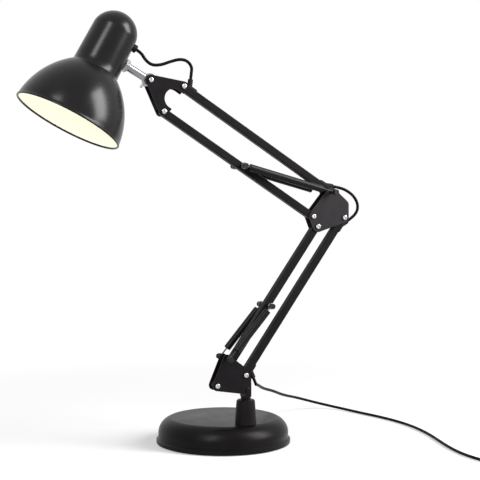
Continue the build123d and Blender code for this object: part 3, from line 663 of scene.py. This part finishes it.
class LAMP_OT_wind_springs(bpy.types.Operator):
    """Winds the balance springs that lie in the sleeves"""

    bl_idname = "lamp.wind_springs"
    bl_label = "Wind the springs"

    side_offset = 0.015
    coil_radius = 0.0031
    wire = 0.0005
    eye_wire = 0.0009
    eye_radius = 0.0034
    start = 0.0095
    tail_steps = 4
    # Radius of the end disc's outline, and its distance past the winding's start
    disc = [(0.0034, -0.0014), (0.0036, -0.001), (0.0036, 0), (0.0034, 0.0003)]
    pitch = 0.0021
    points_a_turn = 12
    eye_steps = 24
    eye_sides = 10
    wire_sides = 6
    # Each arm's lean off the line from pin to hook, in degrees, and its wound length
    windings = {"lower": (0.3, 0.066), "upper": (-0.5, 0.109)}

    def eye(self, build, place):
        loop = [place @ Vector((self.eye_radius * math.cos(turn), self.eye_radius * math.sin(turn), 0))
                for turn in [2 * math.pi * step / self.eye_steps for step in range(self.eye_steps)]]
        rings = tube_rings(loop + loop[:2], [self.eye_wire] * (self.eye_steps + 2), self.eye_sides)[1:]
        add_rings(build, rings, 0, (False, False))
        reach = self.start - self.eye_radius
        tail = [place @ Vector((self.eye_radius + reach * step / self.tail_steps, 0, 0))
                for step in range(self.tail_steps + 1)]
        add_rings(build, tube_rings(tail, [self.eye_wire] * len(tail), self.eye_sides))

    def winding(self, build, place, length):
        turns = int((length - self.pitch) / self.pitch)
        points = []
        for step in range(turns * self.points_a_turn + 1):
            turn = 2 * math.pi * step / self.points_a_turn
            along = self.start + self.pitch * step / self.points_a_turn
            points.append(place @ Vector((along, self.coil_radius * math.cos(turn),
                                          self.coil_radius * math.sin(turn))))
        add_rings(build, tube_rings(points, [self.wire] * len(points), self.wire_sides))
        plate = place @ Matrix.Rotation(math.pi / 2, 4, "Y")
        outline = [(radius, self.start + past) for radius, past in self.disc]
        add_rings(build, turned(plate, outline, self.eye_steps))

    def execute(self, context):
        for name, (lean, length) in self.windings.items():
            pin, hook = pivot[name + "_spring_pivot"], pivot[name + "_hook_pivot"]
            way = Matrix.Rotation(math.radians(-lean), 3, "Y") @ (hook - pin).normalized()
            build = new_build()
            for side in (self.side_offset, -self.side_offset):
                place = place_along(pin + near * side, near, way)
                self.eye(build, place)
                self.winding(build, place, length)
            piece = mesh_piece(name + "_spring_windings", build, ["wire"], 60)
            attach(piece, name + "_spring_tubes")
            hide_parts(name + "_springs")
        return {"FINISHED"}


class LAMP_OT_run_cords(bpy.types.Operator):
    """Runs the mains lead, its coil, the loop at the knuckle and the cord to the shade"""

    bl_idname = "lamp.run_cords"
    bl_label = "Run the cords"

    # Routes in millimetres, and the coil that lies between the lead's and the switch's
    head_route = [(-144.93, -60, 512.57), (-137.9, -60, 508.74), (-132.52, -60, 499.99),
                  (-124.02, -60, 494.19), (-112.02, -60, 494.99), (-99.01, -60, 499.96),
                  (-86.51, -60, 503.56), (-76.51, -60, 501.96), (-70.21, -60, 494.76),
                  (-70.92, -60, 486.55), (-72.03, -60, 478.63)]
    loop_route = [(133.23, -60, 344.39), (143.13, -60, 343), (155.01, -60, 339.18), (166.01, -60, 331.78),
                  (172.56, -60, 321.5), (172.16, -60, 311), (164.33, -60, 302.56), (155.7, -60, 297.52)]
    lead_route = [(15.8, -60, 94.95), (19.09, -60, 87.66), (22.87, -54, 83.98), (31.47, -37.5, 81.58),
                  (46, -13, 76), (72, 25, 64), (108, 68, 52), (148, 112, 36), (188, 149, 24), (222, 168, 13),
                  (248, 166, 5.5), (264, 142, 2.4), (272, 102, 2.1), (281, 60, 2.2), (287, 15, 2.1),
                  (285, -32, 2.2), (276, -80, 2.1), (262, -126, 2.2), (249, -172, 2.1), (242, -214, 2.2),
                  (245, -254, 2.1), (255, -286, 2.6), (258, -308, 3.5), (258, -326, 3.5)]
    switch_route = [(312, -326, 8.2), (312, -308, 8.2), (313, -289, 8.5), (313, -272, 8.5)]
    plug_route = [(313, -214, 8.5), (313, -197, 8.5), (322, -178, 4), (341, -171, 2.3), (359, -182, 3),
                  (365, -206, 6.75), (365, -226, 6.75)]
    coil_middle = (285, -330)
    coil_outer = 27.0
    coil_pitch = 4.7
    coil_turns = 5.5
    coil_level = 3.5
    points_a_turn = 16
    rise_turns = 0.5
    relief_length = 0.022
    relief_steps = 60
    relief_ribs = 14
    relief_groove = 0.86
    relief_root, relief_taper, relief_least = 1.95, 0.85, 1.04
    relief_sides = 18
    # Bodies at the two ends of each short cord, and the shifts off those two ends
    links = {
        "head_cord_at_shade": ("head", "head_bracket", (0.003, 0, 0), (-0.006, 0, 0)),
        "head_cord_at_arm": ("upper_top_arm", "head_bracket", (-0.00597, 0, 0.01137), (0.003, 0, 0)),
        "knuckle_loop_upper": ("upper_top_arm", "knuckle", (0.005, 0, 0), (-0.004, 0, 0)),
        "knuckle_loop_lower": ("lower_rear_arm", "knuckle", (0, 0, 0.003), (0, 0, -0.002)),
        "mains_lead_at_arm": ("lower_rear_arm", "lower_bracket", (0, 0, -0.001), (0, 0, 0.001)),
    }
    lead_at_arm = 0.034
    lead_lag = 0.002
    lead_give = 0.06
    head_share = 0.45
    loop_share = 0.55

    def coil_route(self):
        route = []
        last = int(self.coil_turns * self.points_a_turn)
        for step in range(last + 1):
            turns = self.coil_turns * step / last
            radius = self.coil_outer - self.coil_pitch * min(turns, self.coil_turns - turns)
            share = (turns - self.coil_turns / 2) / self.rise_turns + 0.5
            share = min(max(share, 0), 1)
            level = self.coil_level + self.coil_pitch * share * share * (3 - 2 * share)
            angle = math.pi + 2 * math.pi * turns
            route.append((self.coil_middle[0] + radius * math.cos(angle),
                          self.coil_middle[1] + radius * math.sin(angle), level))
        return route

    def halves(self, points, share):
        """The points before and after a share of the line's length, with the one between in both."""
        total = line_length(points)
        run = 0
        for index, (here, there) in enumerate(zip(points, points[1:])):
            run += (there - here).length
            if run >= total * share:
                return points[: index + 2], points[index + 1:]
        raise RuntimeError("the cord has no such point")

    def link_cord(self, name, points, node):
        radius = sizes().cord_diameter / 2
        piece = cord_piece(name, points, radius)
        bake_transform(piece)
        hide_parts(node)

    def relief(self, name, points):
        """A ribbed sleeve that tapers along the first points of a cord."""
        radius = sizes().cord_diameter / 2
        line, radii, run = [], [], 0
        for here, there in zip(points, points[1:]):
            if run > self.relief_length:
                break
            share = min(run / self.relief_length, 1)
            rib = 1.0 if int(share * self.relief_ribs) % 2 == 0 else self.relief_groove
            line.append(here)
            thickness = (self.relief_root - self.relief_taper * share) * rib
            radii.append(radius * max(self.relief_least, thickness))
            run += (there - here).length
        build = new_build()
        add_rings(build, tube_rings(line, radii, self.relief_sides))
        piece = mesh_piece(name, build, ["rubber"], 50)
        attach(piece, "base")
        return piece

    def run_head_cord(self):
        head_line = route_line(self.head_route)
        shade_half, arm_half = self.halves(head_line, self.head_share)
        self.link_cord("head_cord_at_shade", shade_half, "head_cord")
        self.link_cord("head_cord_at_arm", arm_half[::-1], "head_cord")

    def run_knuckle_loop(self):
        loop_line = route_line(self.loop_route)
        upper_half, lower_half = self.halves(loop_line, self.loop_share)
        self.link_cord("knuckle_loop_upper", upper_half, "knuckle_cable_loop")
        self.link_cord("knuckle_loop_lower", lower_half[::-1], "knuckle_cable_loop")

    def run_mains_lead(self):
        radius = sizes().cord_diameter / 2
        lead_line = route_line(self.lead_route + self.coil_route()[1:] + self.switch_route[1:])
        total = line_length(lead_line)
        arm_part, floor_part = self.halves(lead_line, self.lead_at_arm / total)
        self.link_cord("mains_lead_at_arm", arm_part, "power_cord")

        plug_line = route_line(self.plug_route)
        fine_lead = route_line(self.switch_route, self.relief_steps)
        fine_plug = route_line(self.plug_route, self.relief_steps)
        switch_in = self.relief("switch_relief_in", fine_lead[::-1])
        switch_out = self.relief("switch_relief_out", fine_plug)
        plug_end = self.relief("plug_relief", fine_plug[::-1])
        lead = cord_piece("mains_lead", floor_part, radius)
        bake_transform(lead)
        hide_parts("power_cord", "cord_coil")
        plug_lead = cord_piece("plug_lead", plug_line, radius)
        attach(plug_lead, "base")
        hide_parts("cord_tail")

    def execute(self, context):
        self.run_head_cord()
        self.run_knuckle_loop()
        self.run_mains_lead()
        return {"FINISHED"}


class LAMP_OT_mould_switch(bpy.types.Operator):
    """Moulds the in-line switch's shells and the plug with its sleeved pins"""

    bl_idname = "lamp.mould_switch"
    bl_label = "Mould the switch and plug"

    switch_middle = (0.313, -0.243)
    switch_size = (0.026, 0.058, 0.017)
    seam = 0.0085
    window = (0.0112, 0.0182)
    plug_start = (0.365, -0.226)
    plug_size = (0.025, 0.036, 0.0135)
    pin_gap = 0.019
    pin_radius = 0.002
    pin_length = 0.019
    pin_sides = 24
    shell_corner = 0.005
    least_corner = 0.001
    window_frame = 0.0012
    window_corner = 0.0008
    window_depth = 0.004
    ridges = 5
    first_ridge = 0.0165
    ridge_pitch = 0.0018
    ridge_foot, ridge_crest = (0.013, 0.0009, 0.0004), (0.0126, 0.0006, 0.00025)
    ridge_height = 0.0004
    grips = 4
    first_grip = 0.004
    grip_pitch = 0.0026
    grip_growth = 0.0012
    sleeve_length = 0.0098
    sleeve_root = 0.002
    corner_share = 0.36

    def shell(self, place, levels):
        width, depth = self.switch_size[:2]
        return [rounded(place, width - 2 * inset, depth - 2 * inset,
                        max(self.shell_corner - inset, self.least_corner), height)
                for height, inset in levels]

    def mould_shells(self):
        top = self.switch_size[2]
        place = Matrix.Translation((*self.switch_middle, 0))
        build = new_build()
        # Height and inset of each ring, up the lower shell and then the upper one
        low = [(0, 0.0016), (0.0005, 0.0006), (0.0014, 0), (self.seam - 0.0006, 0),
               (self.seam - 0.0002, 0.0004), (self.seam - 0.0002, 0.0016)]
        add_rings(build, self.shell(place, low))
        high = [(self.seam, 0.0016), (self.seam + 0.0001, 0.0004), (self.seam + 0.0005, 0), (top - 0.0034, 0),
                (top - 0.0016, 0.0005), (top - 0.0006, 0.0013), (top - 0.0001, 0.0026), (top, 0.004)]
        rings = self.shell(place, high)
        frame_size = [side + self.window_frame for side in self.window]
        rings += [rounded(place, *frame_size, self.window_frame, top + 0.0003),
                  rounded(place, *self.window, self.window_corner, top + 0.0002),
                  rounded(place, *self.window, self.window_corner, top - self.window_depth)]
        add_rings(build, rings)
        for side in (-1, 1):
            for step in range(self.ridges):
                along = self.switch_middle[1] + side * (self.first_ridge + step * self.ridge_pitch)
                ridge = Matrix.Translation((self.switch_middle[0], along, top))
                add_rings(build, [rounded(ridge, *self.ridge_foot, -self.ridge_height),
                                  rounded(ridge, *self.ridge_crest, self.ridge_height)])
        shells = mesh_piece("switch_housing", build, ["shell"], 35)
        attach(shells, "base")
        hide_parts("switch_shells")

    def plug_place(self):
        return place_along(Vector((*self.plug_start, self.plug_size[2] / 2)), near, Vector((1, 0, 0)))

    def mould_plug(self):
        width, depth, height = self.plug_size
        build = new_build()
        # Distance from the cord's end, width and height of each ring
        body = [(0, 0.0095, 0.0085), (0.0006, 0.0103, 0.0092), (0.003, 0.0112, 0.0098)]
        for step in range(self.grips):
            start = self.first_grip + step * self.grip_pitch
            grow = self.grip_growth * step
            body += [(start, 0.0122 + grow, 0.0104), (start + 0.0012, 0.0122 + grow, 0.0104),
                     (start + 0.0014, 0.0113 + grow, 0.0097), (start + 0.0024, 0.0113 + grow, 0.0097)]
        body += [(0.0152, 0.0175, 0.0112), (0.0185, 0.0226, 0.0126), (0.022, width, height),
                 (depth - 0.0012, width, height), (depth - 0.0003, width - 0.0008, height - 0.0008),
                 (depth, width - 0.002, height - 0.002)]
        place = self.plug_place()
        add_rings(build, [rounded(place, wide, tall, min(wide, tall) * self.corner_share, along)
                          for along, wide, tall in body])
        plug = mesh_piece("plug_moulding", build, ["shell"], 35)
        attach(plug, "base")
        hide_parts("plug_body")

    def mould_pins(self):
        radius, length = self.pin_radius, self.pin_length
        build = new_build()
        for side in (-1, 1):
            spot = Matrix.Translation((side * self.pin_gap / 2, 0, self.plug_size[1]))
            pin = self.plug_place() @ spot
            sleeve = [(radius, -self.sleeve_root), (radius, self.sleeve_length),
                      (radius * 0.93, self.sleeve_length + 0.0002)]
            add_rings(build, turned(pin, sleeve, self.pin_sides), 1)
            tip = [(radius * 0.92, self.sleeve_length + 0.0001), (radius * 0.92, length - 0.0012),
                   (radius * 0.8, length - 0.0005), (radius * 0.45, length)]
            add_rings(build, turned(pin, tip, self.pin_sides), 0)
        pins = mesh_piece("plug_sleeved_pins", build, ["plate steel", "shell"], 40)
        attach(pins, "base")
        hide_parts("plug_pins")

    def execute(self, context):
        self.mould_shells()
        self.mould_plug()
        self.mould_pins()
        return {"FINISHED"}


class LAMP_OT_set_stage(bpy.types.Operator):
    """Sets the floor, the soft lights, the pale surround and the camera"""

    bl_idname = "lamp.set_stage"
    bl_label = "Set the stage"

    # The camera's place, the way it looks and its right-hand side
    eye = Vector((-0.6554, -1.4587, 0.3349))
    forward = Vector((0.4223, 0.9056, -0.0389))
    across = Vector((0.9063, -0.4226, 0.0))
    focal_pixels = 1194.77
    frame_pixels = 480
    film_width = 36.0
    aim = (-0.05, -0.06, 0.3)
    floor_reach = 8.0
    floor_level = -0.0003
    white_from, white_to = 0.2, 0.8
    near_glow = 0.34
    surround_light = 0.1
    # Place, width and height, and power of each soft box
    boxes = {"left_box": ((-1.6, -1.51, 1.5), (0.6, 1.7), 40),
             "right_box": ((1.58, -1.33, 1.35), (1.0, 1.7), 92)}

    def soft_box(self, name, place, size, power):
        light = bpy.data.lights.new(name, "AREA")
        light.shape = "RECTANGLE"
        light.size, light.size_y = size
        light.energy = power
        box = bpy.data.objects.new(name, light)
        box.location = place
        box.rotation_euler = (Vector(self.aim) - Vector(place)).to_track_quat("-Z", "Y").to_euler()
        bpy.context.scene.collection.objects.link(box)

    def seen_rays(self, tree):
        rays = add_node(tree, "ShaderNodeLightPath")
        seen = math_node(tree, "MAXIMUM", rays.outputs["Is Camera Ray"], rays.outputs["Is Glossy Ray"])
        return math_node(tree, "MAXIMUM", seen, rays.outputs["Is Transmission Ray"])

    def floor_material(self):
        material, tree, shader = blank_material("pale_floor")
        place = add_node(tree, "ShaderNodeTexCoord").outputs["Object"]
        away = add_node(tree, "ShaderNodeVectorMath", operation="LENGTH")
        tree.links.new(place, away.inputs[0])
        far = range_node(tree, away.outputs["Value"], self.white_from, self.white_to, 0.0, 1.0)
        cloud = noise_node(tree, place, 3.0, 2.0)
        colour = tuple(finishes().floor)
        lit = mix_colours(tree, cloud, tinted(colour, 0.99), tinted(colour, 1.01))
        tree.links.new(mix_colours(tree, far, lit, (0.0, 0.0, 0.0)), shader.inputs["Base Color"])
        shader.inputs["Roughness"].default_value = 0.9
        shader.inputs["Specular IOR Level"].default_value = 0.0
        white = range_node(tree, far, 0, 1, self.near_glow, 1.0)
        glow = math_node(tree, "MULTIPLY", self.seen_rays(tree), white)
        tree.links.new(mix_colours(tree, glow, (0, 0, 0), (1, 1, 1)), shader.inputs["Emission Color"])
        shader.inputs["Emission Strength"].default_value = 1.0
        return material

    def lay_floor(self, scene):
        floor_mesh = bpy.data.meshes.new("floor")
        wide, level = self.floor_reach, self.floor_level
        floor_mesh.from_pydata([(-wide, -wide, level), (wide, -wide, level), (wide, wide, level),
                                (-wide, wide, level)], [], [(0, 1, 2, 3)])
        floor_mesh.materials.append(self.floor_material())
        floor = bpy.data.objects.new("floor", floor_mesh)
        scene.collection.objects.link(floor)

    def light_surround(self, scene):
        world = bpy.data.worlds.new("surround")
        scene.world = world
        world.use_nodes = True
        tree = world.node_tree
        background = tree.nodes["Background"]
        background.inputs["Color"].default_value = (1, 1, 1, 1)
        strength = range_node(tree, self.seen_rays(tree), 0, 1, self.surround_light, 1.0)
        tree.links.new(strength, background.inputs["Strength"])

    def set_camera(self, scene):
        camera = bpy.data.cameras.new("camera")
        camera.sensor_fit = "HORIZONTAL"
        camera.sensor_width = self.film_width
        camera.lens = self.focal_pixels * self.film_width / self.frame_pixels
        viewer = bpy.data.objects.new("camera", camera)
        forward = self.forward.normalized()
        across = self.across.normalized()
        up = across.cross(forward)
        turn = Matrix((across, up, -forward)).transposed().to_4x4()
        turn.translation = self.eye
        viewer.matrix_world = turn
        scene.collection.objects.link(viewer)
        scene.camera = viewer

    def execute(self, context):
        scene = context.scene
        scene.view_settings.view_transform = "Standard"
        self.lay_floor(scene)
        self.light_surround(scene)
        for name, (place, size, power) in self.boxes.items():
            self.soft_box(name, place, size, power)
        self.set_camera(scene)
        return {"FINISHED"}


operators = [LAMP_OT_set_stage, LAMP_OT_finish_solids, LAMP_OT_spin_shade, LAMP_OT_fit_fasteners,
             LAMP_OT_wind_springs, LAMP_OT_mould_switch, LAMP_OT_run_cords]


class LAMP_PT_panel(bpy.types.Panel):
    """Lists the lamp's steps, sizes and colours"""

    bl_idname = "LAMP_PT_panel"
    bl_label = "Desk lamp"
    bl_space_type = "VIEW_3D"
    bl_region_type = "UI"
    bl_category = "Desk lamp"

    def draw(self, context):
        for operator in operators:
            self.layout.operator(operator.bl_idname)
        for group in (context.scene.lamp_sizes, context.scene.lamp_finishes):
            for name in group.__annotations__:
                self.layout.prop(group, name)


classes = [LampSizes, LampFinishes, *operators, LAMP_PT_panel]


def register():
    for made_class in classes:
        bpy.utils.register_class(made_class)
    bpy.types.Scene.lamp_sizes = bpy.props.PointerProperty(type=LampSizes)
    bpy.types.Scene.lamp_finishes = bpy.props.PointerProperty(type=LampFinishes)


def unregister():
    del bpy.types.Scene.lamp_sizes
    del bpy.types.Scene.lamp_finishes
    for made_class in reversed(classes):
        bpy.utils.unregister_class(made_class)


peel_group = make_peel_group()
dust_group = make_dust_group()
grain_group = make_grain_group()


def main():
    register()
    make_finishes()
    bpy.ops.lamp.set_stage()
    bpy.ops.lamp.finish_solids()
    bpy.ops.lamp.spin_shade()
    bpy.ops.lamp.fit_fasteners()
    bpy.ops.lamp.wind_springs()
    bpy.ops.lamp.mould_switch()
    bpy.ops.lamp.run_cords()


if __name__ == "__main__":
    main()
